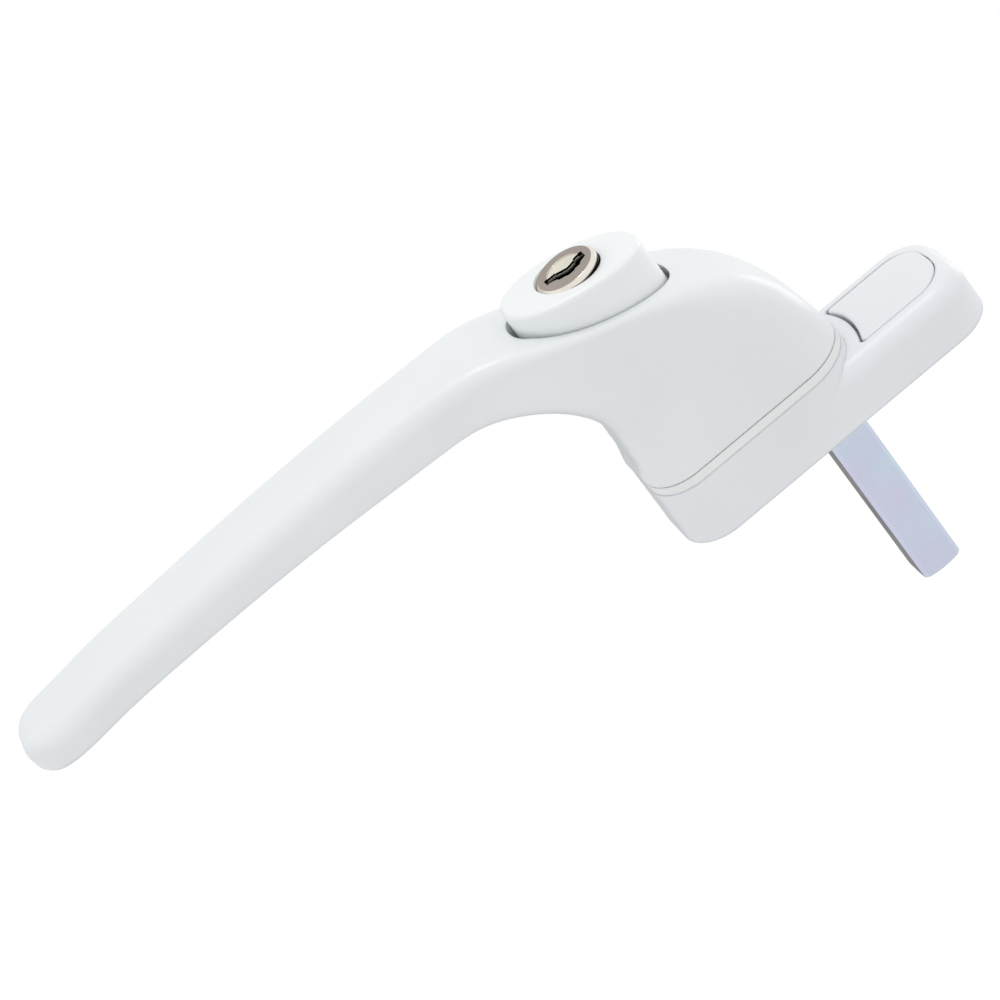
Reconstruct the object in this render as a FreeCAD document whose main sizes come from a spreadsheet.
import FreeCAD, Part
import math
import os
import Sketcher

# Window handle: base with bearing plate and cover cap, lever on a square spindle, and a
# push button holding a key lock. Millimetres.
# Origin: spindle axis where it leaves the mounting face. +Y runs along the spindle into the
# sash, -Y is the room side, +Z is the capped end of the base, the grip hangs towards -Z.
# Sizes named *_up are heights from the mounting face towards the room: up 10 is Y = -10.
# Plain numbers of 0.1 to 2 added to a cutting tool carry it past the faces it opens, and
# those added to a joined part sink it into its neighbour.

V = FreeCAD.Vector
doc = FreeCAD.newDocument("window_handle")

SIZES = [
    # clearances shared by several parts
    ("hairline_gap", 0.01), ("snug_gap", 0.02), ("close_gap", 0.03), ("free_gap", 0.05),
    ("slide_gap", 0.06), ("pin_hole_gap", 0.15),
    # base
    ("half_width", 9.85), ("low_end", 29.05), ("cap_end", 28.15), ("base_corner", 6.8),
    ("base_low_up", 9.0), ("base_high_up", 10.5), ("collar_end", 8.1), ("collar_corner", 9.0),
    ("base_rim", 3.0), ("base_draft", 1.2), ("base_flare", 0.22),
    ("screw_pitch_half", 21.5), ("screw_hole", 2.75), ("screw_head", 4.4),
    ("screw_seat_up", 5.4), ("seat_cone_depth", 1.65), ("access_hole", 4.7),
    ("hub_bore", 6.1), ("rear_recess", 8.4), ("rear_recess_up", 3.2), ("pin_hole_depth", 4.4),
    # cover cap and its seat
    ("cap_half", 6.5), ("cap_top_end", 25.6), ("cap_low_mid", 10.75), ("cap_low_side", 9.65),
    ("cap_corner", 5.2), ("cap_gap", 0.15), ("cap_low_gap", 0.48), ("cap_floor_up", 6.6),
    ("cap_crown_up", 9.55), ("cap_crown_radius", 42.0), ("cap_edge", 0.35),
    ("cap_leg_inset", 1.5), ("cap_leg_z", 14.0), ("cap_slot_half_x", 0.9),
    ("cap_slot_half_z", 1.6), ("cap_slot_depth", 3.2),
    # bearing plate
    ("plate_up", 12.1), ("plate_inset", 0.08), ("groove_radius", 8.0), ("groove_half", 1.3),
    ("groove_depth", 0.68), ("groove_end_z", 1.4), ("dimple_drop", 0.32),
    ("dimple_lift", 0.06), ("dimple_gap", 0.04),
    # lever
    ("foot_up", 12.3), ("grip_half", 7.6), ("tip_end", 123.9), ("tip_thick_half", 3.2),
    ("boss_radius", 6.0), ("boss_end_up", 0.8), ("socket_half", 3.55),
    ("socket_top_up", 22.0), ("dish_radius", 45.0), ("dish_z", 15.8), ("dish_up", 87.65),
    # spindle
    ("spindle_half", 3.5), ("spindle_out", 36.0), ("spindle_top_up", 21.8),
    ("spindle_chamfer", 0.7), ("spindle_dome", 14.0), ("cross_pin", 1.25),
    ("cross_pin_up", 6.6), ("cross_pin_half", 5.7), ("cross_pin_bore", 0.75),
    ("cross_pin_seam_half", 0.18),
    # rear retainers
    ("washer_in", 6.06), ("washer_out", 8.2), ("washer_low_up", 2.6), ("washer_top_up", 3.15),
    ("clip_low_up", 1.7), ("clip_top_up", 2.55), ("clip_in", 5.3), ("clip_out", 7.5),
    ("clip_gap_half", 2.2),
    # button
    ("lock_z", 18.8), ("button_half", 7.4), ("button_long", 11.1), ("button_foot_half", 7.6),
    ("button_foot_long", 11.5), ("button_foot_shift", 0.3), ("button_top_up", 46.55),
    ("button_slope", 0.18), ("button_crown", 0.5), ("button_skirt_up", 37.0),
    ("skirt_slope", 0.3), ("button_travel", 4.5), ("pocket_half", 7.74),
    ("pocket_long", 12.0), ("pocket_shift", 0.15), ("pocket_power", 2.25),
    ("pocket_floor_gap", 0.25), ("stem_radius", 7.0), ("stem_end_up", 19.4),
    ("stem_bore", 7.1), ("ledge_up", 23.0), ("chamber", 8.0), ("cover_radius", 8.6),
    ("cover_top_up", 13.4), ("cover_thick", 0.9), ("cover_hole_gap", 0.12),
    ("ring_low_up", 21.95), ("ring_top_up", 22.9), ("ring_in", 6.3), ("ring_out", 7.8),
    ("ring_gap_half", 3.2), ("ring_groove_gap", 0.04), ("pin_radius", 1.7), ("pin_z", 14.6),
    ("pin_tip_up", 13.0), ("pin_top_up", 23.2), ("pin_nose", 0.6), ("pin_nose_inset", 0.5),
    # lock
    ("sleeve_out", 5.7), ("sleeve_in", 4.25), ("sleeve_low_up", 29.0),
    ("sleeve_top_up", 43.5), ("sleeve_slot_half", 2.35), ("sleeve_slot_reach", 4.95),
    ("sleeve_slot_floor", 2.0), ("sleeve_slot_roof", 0.8),
    ("plug_head", 5.1), ("plug_body", 4.2), ("plug_face_up", 47.7), ("plug_low_up", 28.4),
    ("plug_bevel", 0.5), ("plug_tail_half", 1.5), ("hole_head", 5.22),
    ("key_width", 1.9), ("key_height", 7.0), ("key_end_up", 33.0),
    ("moon_radius", 3.05), ("moon_side", 0.06), ("moon_depth", 0.55), ("insert_drop", 0.12),
    ("wafer_top_up", 41.6), ("wafer_pitch", 2.4), ("wafer_thick", 0.9), ("wafer_half", 2.2),
    ("wafer_slot_half", 2.3), ("wafer_slot_thick_half", 0.5), ("window_half_x", 1.35),
    ("window_half_z", 2.5), ("cam_radius", 5.0), ("cam_low_up", 26.6), ("cam_drop", 0.2),
    ("peg_arm", 1.15), ("peg_radius", 0.62),
    ("bolt_half", 1.75), ("bolt_low_up", 24.2), ("bolt_top_up", 26.0), ("bolt_throw", 1.626),
    ("bolt_side_gap", 0.15), ("bolt_slot_gap", 0.2), ("bolt_end_gap", 0.08),
    ("bolt_back", 3.2), ("bolt_channel_back", 3.6),
    # springs, ball and drive pin
    ("ball_radius", 1.2), ("ball_hole", 1.3), ("ball_hole_top_up", 19.4),
    ("ball_spring_coil", 0.85), ("ball_spring_wire", 0.2),
    ("spring_wire", 0.28), ("spring_coil", 1.2), ("spring_arm", 4.2), ("spring_hole", 1.65),
    ("spring_hole_top_up", 23.4), ("drive_pin", 0.8), ("drive_pin_up", 30.4),
    ("drive_pin_start", 4.65), ("drive_pin_long", 2.2), ("drive_hole_start", 4.6),
]


class Length:
    """A value together with the spreadsheet expression that gives it."""

    def __init__(self, value, text=None):
        self.value = float(value)
        self.text = text or "(%r)" % self.value

    def __add__(self, other):
        other = to_length(other)
        return Length(self.value + other.value, "(%s + %s)" % (self.text, other.text))

    def __sub__(self, other):
        other = to_length(other)
        return Length(self.value - other.value, "(%s - %s)" % (self.text, other.text))

    def __mul__(self, other):
        other = to_length(other)
        return Length(self.value * other.value, "(%s * %s)" % (self.text, other.text))

    def __neg__(self):
        return Length(-self.value, "(0 - %s)" % self.text)


def to_length(value):
    return value if isinstance(value, Length) else Length(value)


class Sizes:
    """Holds the sizes as attributes."""


dim = Sizes()  # Length objects, for objects bound to the sheet
num = Sizes()  # plain numbers, for shapes computed directly
sheet = doc.addObject("Spreadsheet::Sheet", "Sheet")
sheet.Label = "Dimensions"
for row, (name, value) in enumerate(SIZES, 1):
    sheet.set("A%d" % row, name)
    sheet.set("B%d" % row, str(value))
    sheet.setAlias("B%d" % row, name)
    setattr(dim, name, Length(value, "Sheet." + name))
    setattr(num, name, value)
doc.recompute()

lock_z = -dim.lock_z
pin_z = -dim.pin_z
pieces = []


def piece(label, obj):
    """Give a finished object its label and list it for export."""
    obj.Label = label
    pieces.append(obj)


# ---------------------------------------------------------------- bound solids
def bind(obj, path, length):
    if "Sheet" in length.text:
        obj.setExpression(path, length.text)


def add_solid(kind, name, sizes, x, up, z, rotation=None):
    """Primitive with its sizes and its corner or centre driven by the sheet."""
    obj = doc.addObject(kind, name)
    for prop, size in sizes.items():
        size = to_length(size)
        setattr(obj, prop, size.value)
        bind(obj, prop, size)
    base = [to_length(x), -to_length(up), to_length(z)]
    at = V(*[length.value for length in base])
    obj.Placement = FreeCAD.Placement(at, rotation or FreeCAD.Rotation())
    for axis, length in zip("xyz", base):
        bind(obj, "Placement.Base." + axis, length)
    return obj


TO_ROOM = FreeCAD.Rotation(V(1, 0, 0), 90)  # turns the Z axis to -Y
ALONG_X = FreeCAD.Rotation(V(0, 1, 0), 90)  # turns the Z axis to +X


def cylinder(name, low, high, radius, z=0, x=0):
    """Round bar along Y between two heights."""
    sizes = {"Radius": radius, "Height": to_length(high) - low}
    return add_solid("Part::Cylinder", name, sizes, x, low, z, TO_ROOM)


def cone(name, low, high, low_radius, high_radius, z):
    sizes = {"Radius1": low_radius, "Radius2": high_radius, "Height": high - low}
    return add_solid("Part::Cone", name, sizes, 0, low, z, TO_ROOM)


def cross_cylinder(name, x, up, radius, z=0):
    """Round bar along X; x holds its two ends."""
    start, end = to_length(x[0]), to_length(x[1])
    sizes = {"Radius": radius, "Height": end - start}
    return add_solid("Part::Cylinder", name, sizes, start, up, z, ALONG_X)


def box(name, x, z, up):
    """Box between pairs of x, z and height."""
    x0, x1, z0, z1, low, high = [to_length(end) for end in (*x, *z, *up)]
    sizes = {"Length": x1 - x0, "Width": high - low, "Height": z1 - z0}
    return add_solid("Part::Box", name, sizes, x0, high, z0)


def sphere(name, up, radius, z=0, x=0):
    return add_solid("Part::Sphere", name, {"Radius": radius}, x, up, z)


def span(half, middle=0):
    """Pair of ends half a length either side of the middle."""
    middle = to_length(middle)
    return middle - half, middle + half


def fuse(name, *shapes):
    obj = doc.addObject("Part::MultiFuse", name)
    obj.Shapes = list(shapes)
    return obj


def common(name, *shapes):
    obj = doc.addObject("Part::MultiCommon", name)
    obj.Shapes = list(shapes)
    return obj


def cut(name, base, *tools):
    obj = doc.addObject("Part::Cut", name)
    obj.Base = base
    obj.Tool = tools[0] if len(tools) == 1 else fuse(name + "_tools", *tools)
    return obj


def ring(name, part, low, high, inner, outer, z=0, tools=()):
    """Ring around a Y axis, cut by further tools if given."""
    disc = cylinder(part + "Out", low, high, outer, z)
    hole = cylinder(part + "In", low - 1, high + 1, inner, z)
    return cut(name, disc, hole, *tools)


def feature(name, shape):
    obj = doc.addObject("Part::Feature", name)
    obj.Shape = shape
    obj.Placement = shape.Placement
    return obj


def edge_numbers(shape, wanted):
    return [i for i, edge in enumerate(shape.Edges, 1) if wanted(edge)]


def lies_at(edge, up):
    bounds = edge.BoundBox
    return abs(-bounds.YMax - up) < 1e-4 and abs(-bounds.YMin - up) < 1e-4


def chamfer(name, base, size, wanted):
    doc.recompute()
    obj = doc.addObject("Part::Chamfer", name)
    obj.Base = base
    obj.Edges = [(i, size, size) for i in edge_numbers(base.Shape, wanted)]
    return obj


# ---------------------------------------------------------------- sketched bodies
def new_body(name):
    body = doc.addObject("PartDesign::Body", name)
    doc.recompute()
    return body


def new_sketch(body, name, up=0):
    """Sketch parallel to the XZ plane, whose normal is -Y, at a height."""
    up = to_length(up)
    plane = next(f for f in body.Origin.OriginFeatures if f.Role == "XZ_Plane")
    sketch = body.newObject("Sketcher::SketchObject", name)
    sketch.AttachmentSupport = [(plane, "")]
    sketch.MapMode = "FlatFace"
    sketch.AttachmentOffset = FreeCAD.Placement(V(0, 0, up.value), FreeCAD.Rotation())
    bind(sketch, "AttachmentOffset.Base.z", up)
    return sketch


def constrain(sketch, length, *where):
    index = sketch.addConstraint(Sketcher.Constraint(*where, length.value))
    bind(sketch, "Constraints[%d]" % index, length)


def outline_sketch(body, name, x, z, low_radius, high_radius, up=0):
    """Rectangle with its corners rounded by one radius at low z and another at high z."""
    sketch = new_sketch(body, name, up)
    x0, x1, z0, z1 = [end.value for end in (*x, *z)]
    low, high = low_radius.value, high_radius.value

    def line(xa, za, xb, zb):
        return Part.LineSegment(V(xa, za, 0), V(xb, zb, 0))

    def arc(xc, zc, radius, start):
        circle = Part.Circle(V(xc, zc, 0), V(0, 0, 1), radius)
        return Part.ArcOfCircle(circle, math.radians(start), math.radians(start + 90))

    edges = [
        line(x0 + low, z0, x1 - low, z0),
        arc(x1 - low, z0 + low, low, 270),
        line(x1, z0 + low, x1, z1 - high),
        arc(x1 - high, z1 - high, high, 0),
        line(x1 - high, z1, x0 + high, z1),
        arc(x0 + high, z1 - high, high, 90),
        line(x0, z1 - high, x0, z0 + low),
        arc(x0 + low, z0 + low, low, 180),
    ]
    ids = [sketch.addGeometry(edge, False) for edge in edges]
    for i in range(8):
        sketch.addConstraint(Sketcher.Constraint("Tangent", ids[i], 2, ids[(i + 1) % 8], 1))
    for kind, i in (("Horizontal", 0), ("Horizontal", 4), ("Vertical", 2), ("Vertical", 6)):
        sketch.addConstraint(Sketcher.Constraint(kind, ids[i]))
    constrain(sketch, low_radius, "Radius", ids[1])
    sketch.addConstraint(Sketcher.Constraint("Equal", ids[1], ids[7]))
    constrain(sketch, high_radius, "Radius", ids[3])
    sketch.addConstraint(Sketcher.Constraint("Equal", ids[3], ids[5]))
    constrain(sketch, x[1], "DistanceX", -1, 1, ids[2], 1)
    constrain(sketch, x[0], "DistanceX", -1, 1, ids[6], 1)
    constrain(sketch, z[0], "DistanceY", -1, 1, ids[0], 1)
    constrain(sketch, z[1], "DistanceY", -1, 1, ids[4], 1)
    return sketch


def set_taper(pad, draft, sign):
    pad.TaperAngle = sign * draft.value
    pad.setExpression("TaperAngle", "%d deg * %s" % (sign, draft.text))
    doc.recompute()


def add_pad(body, name, sketch, length, draft=None):
    """Pad towards the room; a draft narrows it on the way up."""
    pad = body.newObject("PartDesign::Pad", name)
    pad.Profile = sketch
    pad.Length = length.value
    bind(pad, "Length", length)
    doc.recompute()
    if draft is not None:
        set_taper(pad, draft, -1)
        # guards against a taper sign that widens the pad
        if pad.AddSubShape.BoundBox.XLength > sketch.Shape.BoundBox.XLength + 0.02:
            set_taper(pad, draft, 1)
    return pad


def drill(body, sketch_name, pocket_name, up, depth, holes):
    """Pocket round holes, given as (z, radius) at x = 0, from a height towards +Y."""
    sketch = new_sketch(body, sketch_name, up)
    for z, radius in holes:
        z = to_length(z)
        circle = Part.Circle(V(0, z.value, 0), V(0, 0, 1), radius.value)
        index = sketch.addGeometry(circle, False)
        constrain(sketch, radius, "Radius", index)
        sketch.addConstraint(Sketcher.Constraint("PointOnObject", index, 3, -2))
        if z.value == 0:
            sketch.addConstraint(Sketcher.Constraint("PointOnObject", index, 3, -1))
        else:
            constrain(sketch, z, "DistanceY", -1, 1, index, 3)
    pocket = body.newObject("PartDesign::Pocket", pocket_name)
    pocket.Profile = sketch
    pocket.Length = depth.value
    bind(pocket, "Length", depth)
    doc.recompute()


# ---------------------------------------------------------------- computed outlines
def prism(face, low, high):
    """Extrude a face lying at Y = 0 between two heights."""
    moved = face.copy()
    moved.translate(V(0, -low, 0))
    return moved.extrude(V(0, -(high - low), 0))


def corner_wire(point, half, low, high, low_corner, high_corner, low_mid=None):
    """Rounded outline symmetrical in x; point(x, along) places it in space.
    The low edge bows through low_mid if that is given."""
    bevel = 1 - math.sqrt(0.5)
    low_x, low_side, low_cut = half - low_corner, low + low_corner, bevel * low_corner
    high_x, high_side, high_cut = half - high_corner, high - high_corner, bevel * high_corner
    bow = [] if low_mid is None else [(0, low_mid)]
    # two points give a line, three an arc
    runs = [
        [(-low_x, low)] + bow + [(low_x, low)],
        [(low_x, low), (half - low_cut, low + low_cut), (half, low_side)],
        [(half, low_side), (half, high_side)],
        [(half, high_side), (half - high_cut, high - high_cut), (high_x, high)],
        [(high_x, high), (-high_x, high)],
        [(-high_x, high), (high_cut - half, high - high_cut), (-half, high_side)],
        [(-half, high_side), (-half, low_side)],
        [(-half, low_side), (low_cut - half, low + low_cut), (-low_x, low)],
    ]
    edges = []
    for run in runs:
        curve = Part.LineSegment if len(run) == 2 else Part.Arc
        edges.append(curve(*[point(x, along) for x, along in run]).toShape())
    return Part.Wire(edges)


def cap_outline(grow, grow_low):
    """Face of the cap at Y = 0, concave at low z; that edge grows by its own amount."""
    wire = corner_wire(
        lambda x, z: V(x, 0, z),
        half=num.cap_half + grow,
        low=num.cap_low_side - grow_low,
        high=num.cap_top_end + grow,
        low_corner=0.75 - 0.3 * grow,
        high_corner=num.cap_corner + grow,
        low_mid=num.cap_low_mid - grow_low,
    )
    return Part.Face(wire)


def oval_wire(half, long_half, shift=0.0, up=0.0):
    """Superellipse around the lock axis, moved along -Z by shift."""
    steps = 48
    power = 2.0 / num.pocket_power
    points = []
    for i in range(steps):
        angle = 2 * math.pi * i / steps
        cos, sin = math.cos(angle), math.sin(angle)
        x = half * math.copysign(abs(cos) ** power, cos)
        z = long_half * math.copysign(abs(sin) ** power, sin)
        points.append(V(x, -up, z - num.lock_z - shift))
    curve = Part.BSplineCurve()
    curve.interpolate(points, PeriodicFlag=True)
    return Part.Wire([curve.toShape()])


def room_side_block(up_at_lock, slope):
    """Big block on the room side of the plane up = up_at_lock - slope * (z + lock_z)."""
    z0, z1, far, half = -60.0, 25.0, 90.0, 30.0
    up0, up1 = [up_at_lock - slope * (z + num.lock_z) for z in (z0, z1)]
    corners = [(up0, z0), (up1, z1), (far, z1), (far, z0), (up0, z0)]
    outline = Part.makePolygon([V(-half, -up, z) for up, z in corners])
    return Part.Face(outline).extrude(V(2 * half, 0, 0))


# ================================================================ base plate
flared_half = dim.half_width + dim.base_flare
flared_low = -dim.low_end - dim.base_flare
flared_corner = dim.base_corner + dim.base_flare
base = new_body("Base")
sketch = outline_sketch(base, "BaseOutline", span(flared_half),
                        (flared_low, dim.cap_end + dim.base_flare),
                        flared_corner, flared_corner)
low_pad = add_pad(base, "BasePad", sketch, dim.base_low_up, dim.base_draft)
rim = edge_numbers(low_pad.Shape, lambda edge: lies_at(edge, num.base_low_up))
fillet = base.newObject("PartDesign::Fillet", "RimFillet")
fillet.Base = (low_pad, ["Edge%d" % i for i in rim])
fillet.Radius = num.base_rim
bind(fillet, "Radius", dim.base_rim)
doc.recompute()

# raised part under the lever foot
sketch = outline_sketch(base, "RaisedOutline", span(flared_half),
                        (flared_low, dim.collar_end + dim.base_flare),
                        flared_corner, dim.collar_corner + dim.base_flare)
add_pad(base, "RaisedPad", sketch, dim.base_high_up, dim.base_draft)

screw_zs = (dim.screw_pitch_half, -dim.screw_pitch_half)
pin_hole = (pin_z, dim.pin_radius + dim.pin_hole_gap)
high_up = dim.base_high_up
drill(base, "HubBore", "HubPocket", high_up, high_up, [(0, dim.hub_bore)])
drill(base, "RearRecess", "RearPocket", dim.rear_recess_up, dim.rear_recess_up,
      [(0, dim.rear_recess)])
drill(base, "ScrewHoles", "ScrewPocket", high_up, high_up,
      [(z, dim.screw_hole) for z in screw_zs])
drill(base, "ScrewHeads", "HeadPocket", high_up, high_up - dim.screw_seat_up,
      [(z, dim.screw_head) for z in screw_zs])
drill(base, "PinHole", "PinPocket", high_up, dim.pin_hole_depth, [pin_hole])

base_tools = [feature("CapRecessTool", prism(cap_outline(num.cap_gap, num.cap_low_gap),
                                             num.cap_floor_up, num.base_high_up + 2))]
for name, z in zip(("SeatConeHigh", "SeatConeLow"), screw_zs):
    base_tools.append(cone(name, dim.screw_seat_up - dim.seat_cone_depth, dim.screw_seat_up,
                           dim.screw_hole, dim.screw_head, z))
for name, side in (("ClipSlotA", -1), ("ClipSlotB", 1)):
    middle = (dim.cap_half - dim.cap_leg_inset) * side
    base_tools.append(box(name, span(dim.cap_slot_half_x, middle),
                          span(dim.cap_slot_half_z, dim.cap_leg_z),
                          (dim.cap_floor_up - dim.cap_slot_depth, dim.cap_floor_up + 0.1)))
piece("base_plate", cut("BasePlate", base, *base_tools))

# ================================================================ bearing plate
plate = new_body("Plate")
sketch = outline_sketch(plate, "PlateOutline", span(dim.half_width - dim.plate_inset),
                        (-dim.low_end + dim.plate_inset, dim.collar_end - dim.plate_inset),
                        dim.base_corner, dim.collar_corner, high_up)
plate_thick = dim.plate_up - high_up
add_pad(plate, "PlatePad", sketch, plate_thick)
drill(plate, "PlateHoles", "PlateHolesPocket", dim.plate_up, plate_thick,
      [(0, dim.hub_bore - dim.close_gap), (-dim.screw_pitch_half, dim.access_hole), pin_hole])

# ball groove, an arc around the spindle on the low-z side, with three dimples
groove_floor = dim.plate_up - dim.groove_depth
groove_inner = cylinder("GrooveInner", groove_floor - 1, dim.plate_up + 2,
                        dim.groove_radius - dim.groove_half)
groove_outer = cylinder("GrooveOuter", groove_floor, dim.plate_up + 1,
                        dim.groove_radius + dim.groove_half)
groove_ring = cut("GrooveRing", groove_outer, groove_inner)
groove_keep = box("GrooveKeep", span(12), (-12, dim.groove_end_z), (0, 20))
groove = common("GrooveArc", groove_ring, groove_keep)
dimple_up = groove_floor - dim.dimple_drop + dim.ball_radius + dim.dimple_lift
ball_z = -dim.groove_radius
dimples = [
    sphere(name, dimple_up, dim.ball_radius + dim.dimple_gap, z, x)
    for name, x, z in (("DimpleMid", 0, ball_z), ("DimpleLeft", -dim.groove_radius, 0),
                       ("DimpleRight", dim.groove_radius, 0))
]
piece("bearing_plate", cut("BearingPlate", plate, groove, *dimples))


# ================================================================ cover cap
def crowned_cap():
    """Hollow cap with a barrel-shaped crown and two barbed legs."""
    floor = num.cap_floor_up
    leg_root = 1.2          # above the floor
    leg_x, leg_y, leg_z = 1.0, 4.1, 2.6
    barb_radius, barb_out, barb_drop = 0.28, 0.38, 2.1
    wall, hollow_height = 1.0, 1.3

    block = prism(cap_outline(0.0, 0.0), floor + 0.15, num.cap_crown_up + 2)
    radius = num.cap_crown_radius
    barrel = Part.makeCylinder(radius, 60, V(0, radius - num.cap_crown_up, -10), V(0, 0, 1))
    cap = block.common(barrel)
    crown_edges = [edge for edge in cap.Edges if -edge.BoundBox.YMax > floor + 1.2]
    cap = cap.makeFillet(num.cap_edge, crown_edges)
    cap = cap.cut(prism(cap_outline(-wall, -wall), floor, floor + hollow_height))
    low_z = num.cap_leg_z - leg_z / 2
    for side in (-1, 1):
        middle = side * (num.cap_half - num.cap_leg_inset)
        leg = Part.makeBox(leg_x, leg_y, leg_z,
                           V(middle - leg_x / 2, -(floor + leg_root), low_z))
        barb = Part.makeCylinder(barb_radius, leg_z,
                                 V(middle + side * barb_out, barb_drop - floor, low_z),
                                 V(0, 0, 1))
        cap = cap.fuse(leg).fuse(barb)
    return cap.removeSplitter()


piece("cover_cap", feature("CoverCap", crowned_cap()))

# ================================================================ lever handle
# Cross sections from the tip to the foot. Each plane holds the X direction and the
# segment from an underside point to a room-side point:
# underside z, up, room-side z, up, half width, underside corner, room-side corner
SECTIONS = [
    (-110.0, 40.5, -110.0, 47.2, 7.6, 2.85, 2.85),
    (-97.0, 41.1, -97.0, 48.15, 7.6, 2.9, 2.9),
    (-82.0, 41.2, -82.0, 48.95, 7.6, 3.0, 3.0),
    (-68.0, 40.9, -68.0, 49.35, 7.6, 3.0, 3.1),
    (-57.0, 40.35, -57.0, 49.45, 7.65, 3.0, 3.2),
    (-48.6, 40.0, -48.2, 49.2, 7.87, 3.0, 3.2),
    (-42.9, 39.4, -41.6, 48.7, 8.3, 3.1, 3.0),
    (-38.3, 37.5, -36.0, 47.75, 8.85, 3.3, 2.5),
    (-34.2, 34.6, -30.3, 45.45, 9.35, 3.6, 1.8),
    (-30.9, 30.9, -23.2, 42.45, 9.7, 4.1, 1.25),
    (-28.75, 26.4, -15.2, 39.8, 9.75, 4.9, 1.4),
    (-28.3, 22.2, -6.9, 36.7, 9.8, 5.8, 3.0),
    (-28.4, 18.6, 1.6, 29.8, 9.82, 6.3, 5.4),
    (-28.7, 15.2, 6.2, 20.3, 9.83, 6.65, 7.9),
    (-29.0, 12.3, 8.0, 12.3, 9.85, 6.8, 9.0),
]
TIP_DISTANCES = (0.10, 0.45, 1.1, 2.1, 3.4, 5.2, 7.4)
TIP_MID_UP = 42.78
TIP_RISE = 0.05             # height gained by the middle per mm from the tip
TIP_SWELL = 0.006           # relative growth in thickness per mm from the tip
PLAN_POWER, SIDE_POWER = 2.4, 2.1
TIP_ROUNDING = 0.93         # corner radius over the smaller half size


def tip_half(full, distance, power):
    """Half size of the blunt rounded end at a distance from its tip."""
    return full * (1 - (1 - min(distance, full) / full) ** power) ** (1.0 / power)


def tip_section(distance):
    z = distance - num.tip_end
    half = tip_half(num.grip_half, distance, PLAN_POWER)
    thick_half = tip_half(num.tip_thick_half, distance, SIDE_POWER)
    thick_half *= 1 + TIP_SWELL * distance
    mid_up = TIP_MID_UP + TIP_RISE * distance
    corner = min(half, thick_half) * TIP_ROUNDING
    return z, mid_up - thick_half, z, mid_up + thick_half, half, corner, corner


def section_wire(under_z, under_up, room_z, room_up, half, under_corner, room_corner):
    under = V(0, -under_up, under_z)
    across = V(0, -room_up, room_z) - under
    height = across.Length
    across.normalize()
    limit = min(half * 0.97, height * 0.485)    # keeps straight runs between corners
    return corner_wire(lambda x, along: under + V(x, 0, 0) + across * along,
                       half, 0, height, min(under_corner, limit), min(room_corner, limit))


sections = [tip_section(distance) for distance in TIP_DISTANCES] + SECTIONS
loft = Part.makeLoft([section_wire(*s) for s in sections], True, False, False, 5).Solids[0]
# shallow thumb dish in the room side near the button
lever_body = cut("LeverDished", feature("LeverLoft", loft),
                 sphere("ThumbDish", dim.dish_up, dim.dish_radius, -dim.dish_z))

pocket_oval = Part.Face(oval_wire(num.pocket_half, num.pocket_long, num.pocket_shift))
pocket_floor = num.button_skirt_up - num.button_travel - num.pocket_floor_gap
button_pocket = prism(pocket_oval, 20, 60)
button_pocket = button_pocket.common(room_side_block(pocket_floor, num.skirt_slope))
lever_tools = [
    feature("ButtonPocketTool", button_pocket),
    cylinder("StemBore", dim.ledge_up - 0.5, 36, dim.stem_bore, lock_z),
    cylinder("ChamberBore", dim.foot_up - 1, dim.ledge_up, dim.chamber, lock_z),
    cylinder("CoverRecess", dim.foot_up - 1, dim.cover_top_up,
             dim.cover_radius + dim.snug_gap, lock_z),
]
# slots for the lock bolt with the button out and with it pressed
for name, travel in (("BoltSlotHigh", 0), ("BoltSlotLow", dim.button_travel)):
    lever_tools.append(box(
        name, span(dim.bolt_half + dim.bolt_side_gap),
        (lock_z - dim.stem_radius - dim.bolt_throw - dim.bolt_slot_gap, lock_z - 5),
        (dim.bolt_low_up - travel - dim.bolt_slot_gap,
         dim.bolt_top_up - travel + dim.bolt_slot_gap)))
lever_tools += [
    cylinder("BallHole", dim.foot_up - 1, dim.ball_hole_top_up, dim.ball_hole, ball_z),
    box("SpindleSocket", span(dim.socket_half), span(dim.socket_half),
        (0, dim.socket_top_up)),
]
boss = cylinder("LeverBoss", dim.boss_end_up, dim.foot_up + 1, dim.boss_radius)
lever_with_boss = fuse("LeverWithBoss", lever_body, boss)
lever_tools += [
    ring("ClipGroove", "ClipGroove", dim.clip_low_up - dim.free_gap,
         dim.clip_top_up + dim.close_gap, dim.clip_in - dim.close_gap, dim.boss_radius + 1),
    cross_cylinder("CrossHole", span(dim.cross_pin_half + 1), dim.cross_pin_up,
                   dim.cross_pin),
]
piece("lever_handle", cut("LeverHandle", lever_with_boss, *lever_tools))

# ================================================================ spindle
bar = box("SpindleBar", span(dim.spindle_half), span(dim.spindle_half),
          (-dim.spindle_out, dim.spindle_top_up))
chamfered_bar = chamfer("SpindleChamfer", bar, num.spindle_chamfer,
                        lambda edge: edge.BoundBox.YLength > 20)
# the sash end is domed by a sphere; a wide cylinder keeps the rest of the bar
dome = sphere("SpindleDome", dim.spindle_dome - dim.spindle_out, dim.spindle_dome)
dome_bar = cylinder("SpindleDomeBar", -dim.spindle_out + 6, dim.spindle_top_up + 1, 12)
end_shape = fuse("SpindleEndShape", dome, dome_bar)
rounded_bar = common("SpindleRounded", chamfered_bar, end_shape)
piece("spindle", cut("Spindle", rounded_bar,
                     cross_cylinder("SpindleCrossHole", span(6), dim.cross_pin_up,
                                    dim.cross_pin + dim.free_gap)))

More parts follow.
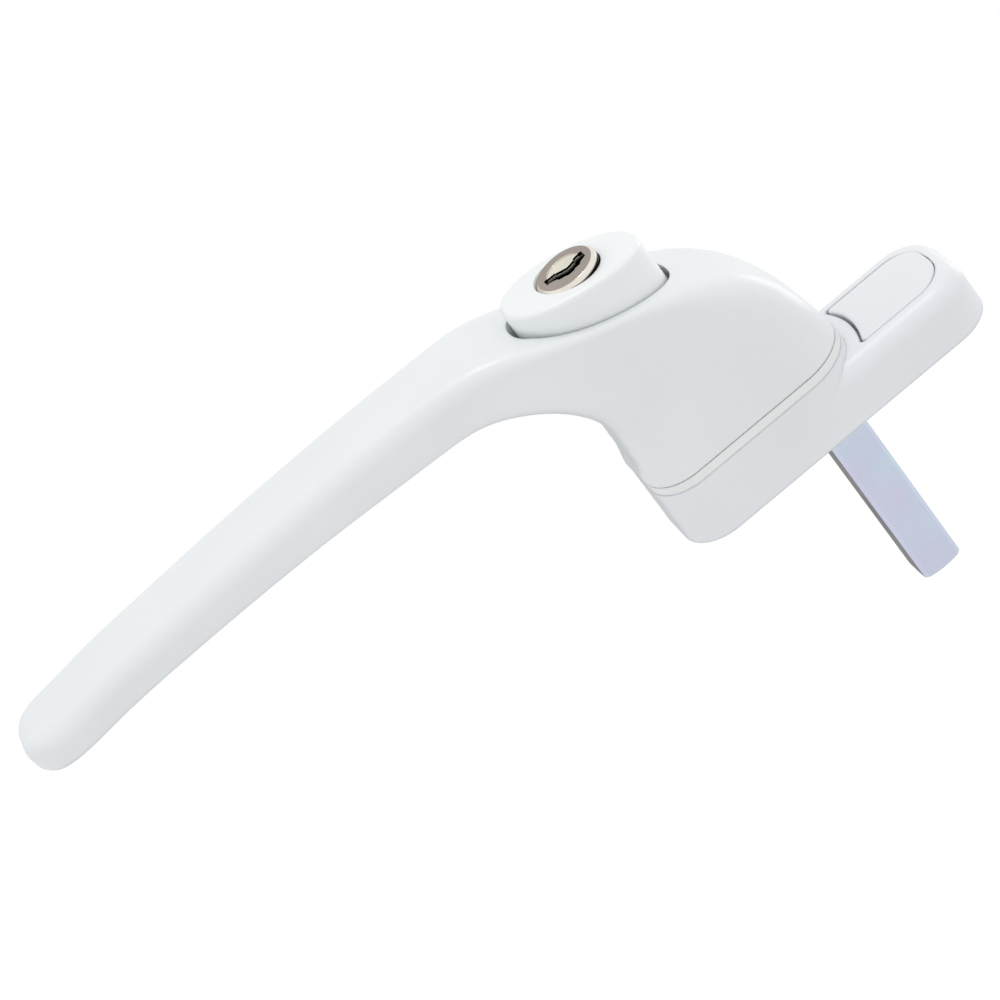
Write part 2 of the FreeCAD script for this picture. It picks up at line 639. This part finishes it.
# rolled cross pin with an open seam
pin_outer = cross_cylinder("CrossPinOuter", span(dim.cross_pin_half), dim.cross_pin_up,
                           dim.cross_pin - dim.hairline_gap)
pin_inner = cross_cylinder("CrossPinInner", span(7), dim.cross_pin_up, dim.cross_pin_bore)
pin_seam = box("CrossPinSeam", span(7), span(dim.cross_pin_seam_half),
               (dim.cross_pin_up, dim.cross_pin_up + 2))
piece("spindle_roll_pin", cut("SpindlePin", pin_outer, pin_inner, pin_seam))

# ================================================================ rear retainers
piece("thrust_washer", ring("ThrustWasher", "Washer", dim.washer_low_up, dim.washer_top_up,
                            dim.washer_in, dim.washer_out))
clip_opening = box("CirclipGap", span(dim.clip_gap_half), (2, 9),
                   (dim.clip_low_up - 1, dim.clip_top_up + 1))
piece("retaining_circlip", ring("RetainingCirclip", "Circlip", dim.clip_low_up,
                                dim.clip_top_up, dim.clip_in, dim.clip_out,
                                tools=[clip_opening]))


# ================================================================ push button
def crowned_button():
    """Oval button narrowing towards the room, with a round stem below it."""
    foot_up, crest_up = 32.0, 53.0
    crest_inset, crest_end_inset = 0.04, 0.1
    crown_radius, rim_radius = 150.0, 0.8

    foot = oval_wire(num.button_foot_half, num.button_foot_long,
                     num.button_foot_shift, foot_up)
    crest = oval_wire(num.button_half - crest_inset, num.button_long - crest_end_inset,
                      up=crest_up)
    head = Part.makeLoft([foot, crest], True, True)
    head = head.common(room_side_block(num.button_skirt_up, num.skirt_slope))
    # the top is a very flat sphere leaning with the slope
    normal = V(0, -1, num.button_slope).normalize()
    apex = V(0, -(num.button_top_up + num.button_crown), -num.lock_z)
    head = head.common(Part.makeSphere(crown_radius, apex - normal * crown_radius))
    rim_edges = [edge for edge in head.Edges
                 if -edge.BoundBox.YMax > num.button_skirt_up + 4.5]
    head = head.makeFillet(rim_radius, rim_edges)
    stem = Part.makeCylinder(num.stem_radius, num.button_skirt_up + 1 - num.stem_end_up,
                             V(0, -num.stem_end_up, -num.lock_z), V(0, -1, 0))
    return head.fuse(stem).removeSplitter()


button_solid = feature("ButtonSolid", crowned_button())
drive_hole = cross_cylinder("DrivePinHole",
                            (dim.drive_hole_start, dim.drive_hole_start + 4),
                            dim.drive_pin_up, dim.drive_pin + dim.hairline_gap, lock_z)
button_tools = [drive_hole]
for name, x in (("SpringHoleLeft", -dim.spring_arm), ("SpringHoleRight", dim.spring_arm)):
    button_tools.append(cylinder(name, dim.stem_end_up - 1, dim.spring_hole_top_up,
                                 dim.spring_hole, lock_z, x))
button_tools += [
    cylinder("ButtonFaceHole", dim.sleeve_top_up, 52, dim.hole_head, lock_z),
    cylinder("ButtonSleeveBore", dim.cam_low_up - 0.35, dim.sleeve_top_up + dim.snug_gap,
             dim.sleeve_out + dim.snug_gap, lock_z),
    cylinder("ButtonPinHole", dim.stem_end_up - 1, dim.pin_top_up + dim.snug_gap,
             dim.pin_radius + dim.hairline_gap, pin_z),
    box("ButtonBoltChannel", span(dim.bolt_half + dim.slide_gap),
        (lock_z - dim.stem_radius - 1, lock_z + dim.bolt_channel_back),
        (dim.bolt_low_up - dim.slide_gap, dim.cam_low_up - 0.3)),
    ring("StemRingGroove", "StemRingGroove", dim.ring_low_up - dim.ring_groove_gap,
         dim.ring_top_up + dim.ring_groove_gap, dim.ring_in - dim.close_gap,
         dim.stem_radius + 1, lock_z),
]
piece("push_button", cut("PushButton", button_solid, *button_tools))

# open ring in the stem groove
ring_opening = box("StemRingGap", (3, 9), span(dim.ring_gap_half, lock_z),
                   (dim.ring_low_up - 1, dim.ring_top_up + 1))
piece("button_retaining_ring", ring("ButtonRing", "StemRing", dim.ring_low_up,
                                    dim.ring_top_up, dim.ring_in, dim.ring_out, lock_z,
                                    [ring_opening]))

# locking pin with a tapered nose
nose_top = dim.pin_tip_up + dim.pin_nose
shank = cylinder("PinShank", nose_top, dim.pin_top_up, dim.pin_radius, pin_z)
nose = cone("PinNose", dim.pin_tip_up, nose_top, dim.pin_radius - dim.pin_nose_inset,
            dim.pin_radius, pin_z)
piece("locking_pin", fuse("LockingPin", shank, nose))

# disc that closes the chamber in the lever foot
cover = cylinder("CoverDisc", dim.cover_top_up - dim.cover_thick, dim.cover_top_up,
                 dim.cover_radius, lock_z)
cover_hole = cylinder("CoverPinHole", dim.foot_up - 1, dim.cover_top_up + 1,
                      dim.pin_radius + dim.cover_hole_gap, pin_z)
piece("chamber_cover", cut("ChamberCover", cover, cover_hole))

# ================================================================ lock sleeve
slot_ups = (dim.sleeve_low_up + dim.sleeve_slot_floor,
            dim.sleeve_top_up - dim.sleeve_slot_roof)
half, reach = dim.sleeve_slot_half, dim.sleeve_slot_reach
sleeve_tools = [
    drive_hole,
    box("SleeveSlotZ", span(half), span(reach, lock_z), slot_ups),
    box("SleeveSlotX", span(reach), span(half, lock_z), slot_ups),
]
piece("lock_sleeve", ring("LockSleeve", "Sleeve", dim.sleeve_low_up, dim.sleeve_top_up,
                          dim.sleeve_in, dim.sleeve_out, lock_z, sleeve_tools))


# ================================================================ key plug
def keyway():
    """Wavy key slot, running from its inner end out through the face."""
    end, side = num.key_height / 2, num.key_width / 2
    # z from the lock axis, x; up the +X side, then down the -X side
    profile = [
        (-end, side - 0.22), (-end + 0.75, side - 0.18), (-1.95, side + 0.25),
        (-1.7, side + 0.75), (-0.7, side + 1.15), (-0.2, side + 1.5), (0.9, side + 1.42),
        (1.1, side + 1.15), (2.0, side + 1.1), (2.4, side + 0.6),
        (end - 0.75, side + 0.42), (end, side + 0.1),
        (end, -side), (2.3, -side), (1.95, -side + 0.12), (1.65, -side + 0.6),
        (0.9, -side + 0.85), (0.25, -side + 0.95), (-0.6, -side + 0.6),
        (-1.45, -side + 0.2), (-1.6, -side - 0.02), (-end, -side),
    ]
    points = [V(x, 0, z - num.lock_z) for z, x in profile]
    return prism(Part.Face(Part.makePolygon(points + points[:1])), num.key_end_up, 52)


def half_moon(name, part, top_up, gap):
    """Half disc on the -X side of the plug face, shrunk by a gap."""
    disc = cylinder(part + "Disc", dim.plug_face_up - dim.moon_depth, top_up,
                    dim.moon_radius - gap, lock_z)
    keep = box(part + "Keep", (-4, dim.moon_side - gap), span(4, lock_z),
               span(2, dim.plug_face_up))
    return common(name, disc, keep)


head = cylinder("PlugHead", dim.sleeve_top_up + dim.free_gap, dim.plug_face_up,
                dim.plug_head, lock_z)
bevelled_head = chamfer("PlugHeadBevel", head, num.plug_bevel,
                        lambda edge: lies_at(edge, num.plug_face_up))
plug_body = cylinder("PlugBody", dim.plug_low_up, dim.sleeve_top_up + 0.1, dim.plug_body,
                     lock_z)
tail = box("PlugTail", span(dim.plug_tail_half), span(dim.plug_tail_half, lock_z),
           (dim.cam_low_up, dim.plug_low_up + 0.1))
plug_raw = fuse("PlugRaw", bevelled_head, plug_body, tail)
key_slot = feature("KeywayTool", keyway())
moon = half_moon("MoonRecess", "Moon", dim.plug_face_up + 1, 0)

WINDOW_SHIFTS = (-0.35, 0.3, -0.1, 0.4)     # z shift of each wafer's window, face end first
wafer_ups = [dim.wafer_top_up - dim.wafer_pitch * i for i in range(len(WINDOW_SHIFTS))]
wafer_slots = [
    box("WaferSlot%d" % i, span(dim.wafer_slot_half), span(6, lock_z),
        span(dim.wafer_slot_thick_half, up))
    for i, up in enumerate(wafer_ups)
]
piece("key_plug", cut("KeyPlug", plug_raw, key_slot, moon, *wafer_slots))

# insert in the half-moon recess
insert = half_moon("InsertMoon", "Insert", dim.plug_face_up - dim.insert_drop, dim.snug_gap)
piece("keyway_face_insert", cut("FaceInsert", insert, key_slot))

for i, (up, shift) in enumerate(zip(wafer_ups, WINDOW_SHIFTS)):
    low, high = span(dim.wafer_thick * 0.5, up)
    disc = cylinder("WaferDisc%d" % i, low, high, dim.plug_body - dim.close_gap, lock_z)
    band = box("WaferBand%d" % i, span(dim.wafer_half), span(6, lock_z), span(2, up))
    wafer = common("WaferPlate%d" % i, disc, band)
    window = box("WaferWindow%d" % i, span(dim.window_half_x),
                 span(dim.window_half_z, lock_z + shift), span(2, up))
    piece("wafer_%d" % (i + 1), cut("Wafer%d" % i, wafer, window))

# ================================================================ cam and bolt
# cam on the plug tail with an eccentric peg, 45 degrees between +X and +Z
peg_x = dim.peg_arm * math.sqrt(0.5)
peg_z = lock_z + peg_x
cam_disc = cylinder("CamDisc", dim.cam_low_up - dim.cam_drop,
                    dim.plug_low_up - dim.free_gap, dim.cam_radius, lock_z)
cam_peg = cylinder("CamPeg", dim.bolt_low_up + 0.1, dim.cam_low_up, dim.peg_radius,
                   peg_z, peg_x)
cam_raw = fuse("CamRaw", cam_disc, cam_peg)
square_half = dim.plug_tail_half + dim.snug_gap
cam_square = box("CamSquare", span(square_half), span(square_half, lock_z),
                 (dim.cam_low_up, dim.plug_low_up + 1))
piece("lock_cam", cut("LockCam", cam_raw, cam_square))

# sliding lock bolt with a cross slot for the peg
bolt_bar = box("BoltBar", span(dim.bolt_half),
               (lock_z - dim.stem_radius + dim.bolt_end_gap, lock_z + dim.bolt_back),
               (dim.bolt_low_up, dim.bolt_top_up))
bolt_slot = box("BoltPegSlot", (-0.1, 2.6), span(dim.peg_radius + dim.slide_gap, peg_z),
                (dim.bolt_low_up - 1, dim.bolt_top_up + 1))
piece("lock_bolt", cut("LockBolt", bolt_bar, bolt_slot))

# ================================================================ ball and springs
ball_up = groove_floor + dim.ball_radius + dim.free_gap
piece("detent_ball", sphere("DetentBall", ball_up, dim.ball_radius, ball_z))


def coil(radius, wire, low, high, turns, z, x=0):
    """Helical spring of round wire along Y between two heights."""
    length = high - low - 2 * wire
    helix = Part.makeHelix(length / turns, length, radius)
    profile = Part.Wire([Part.Circle(V(radius, 0, 0), V(0, 1, 0), wire).toShape()])
    swept = Part.Wire(helix.Edges).makePipeShell([profile], True, True)
    spring = swept.Solids[0].copy()
    spring.Placement = FreeCAD.Placement(V(x, -(low + wire), z), TO_ROOM)
    return spring


ball_top = ball_up.value + num.ball_radius
detent_spring = coil(num.ball_spring_coil, num.ball_spring_wire, ball_top + num.free_gap,
                     num.ball_hole_top_up - num.free_gap, 5.5, -num.groove_radius)
piece("detent_spring", feature("DetentSpring", detent_spring))

# two return springs stand on the chamber cover, in blind holes of the stem
return_springs = [
    coil(num.spring_coil, num.spring_wire, num.cover_top_up + num.close_gap,
         num.spring_hole_top_up - num.close_gap, 6.5, -num.lock_z, x)
    for x in (-num.spring_arm, num.spring_arm)
]
piece("button_springs", feature("ButtonSprings", Part.makeCompound(return_springs)))

# pin that holds the lock sleeve in the stem
piece("sleeve_drive_pin", cross_cylinder(
    "SleevePin", (dim.drive_pin_start, dim.drive_pin_start + dim.drive_pin_long),
    dim.drive_pin_up, dim.drive_pin, lock_z))

# ================================================================ checks and files
doc.recompute()
bad = []
for obj in doc.Objects:
    if "Invalid" in obj.State or "Error" in obj.State:
        bad.append("%s %s" % (obj.Name, list(obj.State)))
for obj in pieces:
    if obj.Shape.isNull() or not obj.Shape.isValid() or not obj.Shape.Solids:
        bad.append("%s shape" % obj.Label)
if bad:
    raise SystemExit("failed: " + "; ".join(bad))
os.makedirs("parts", exist_ok=True)
for obj in pieces:
    obj.Shape.exportStep("parts/%s.step" % obj.Label)
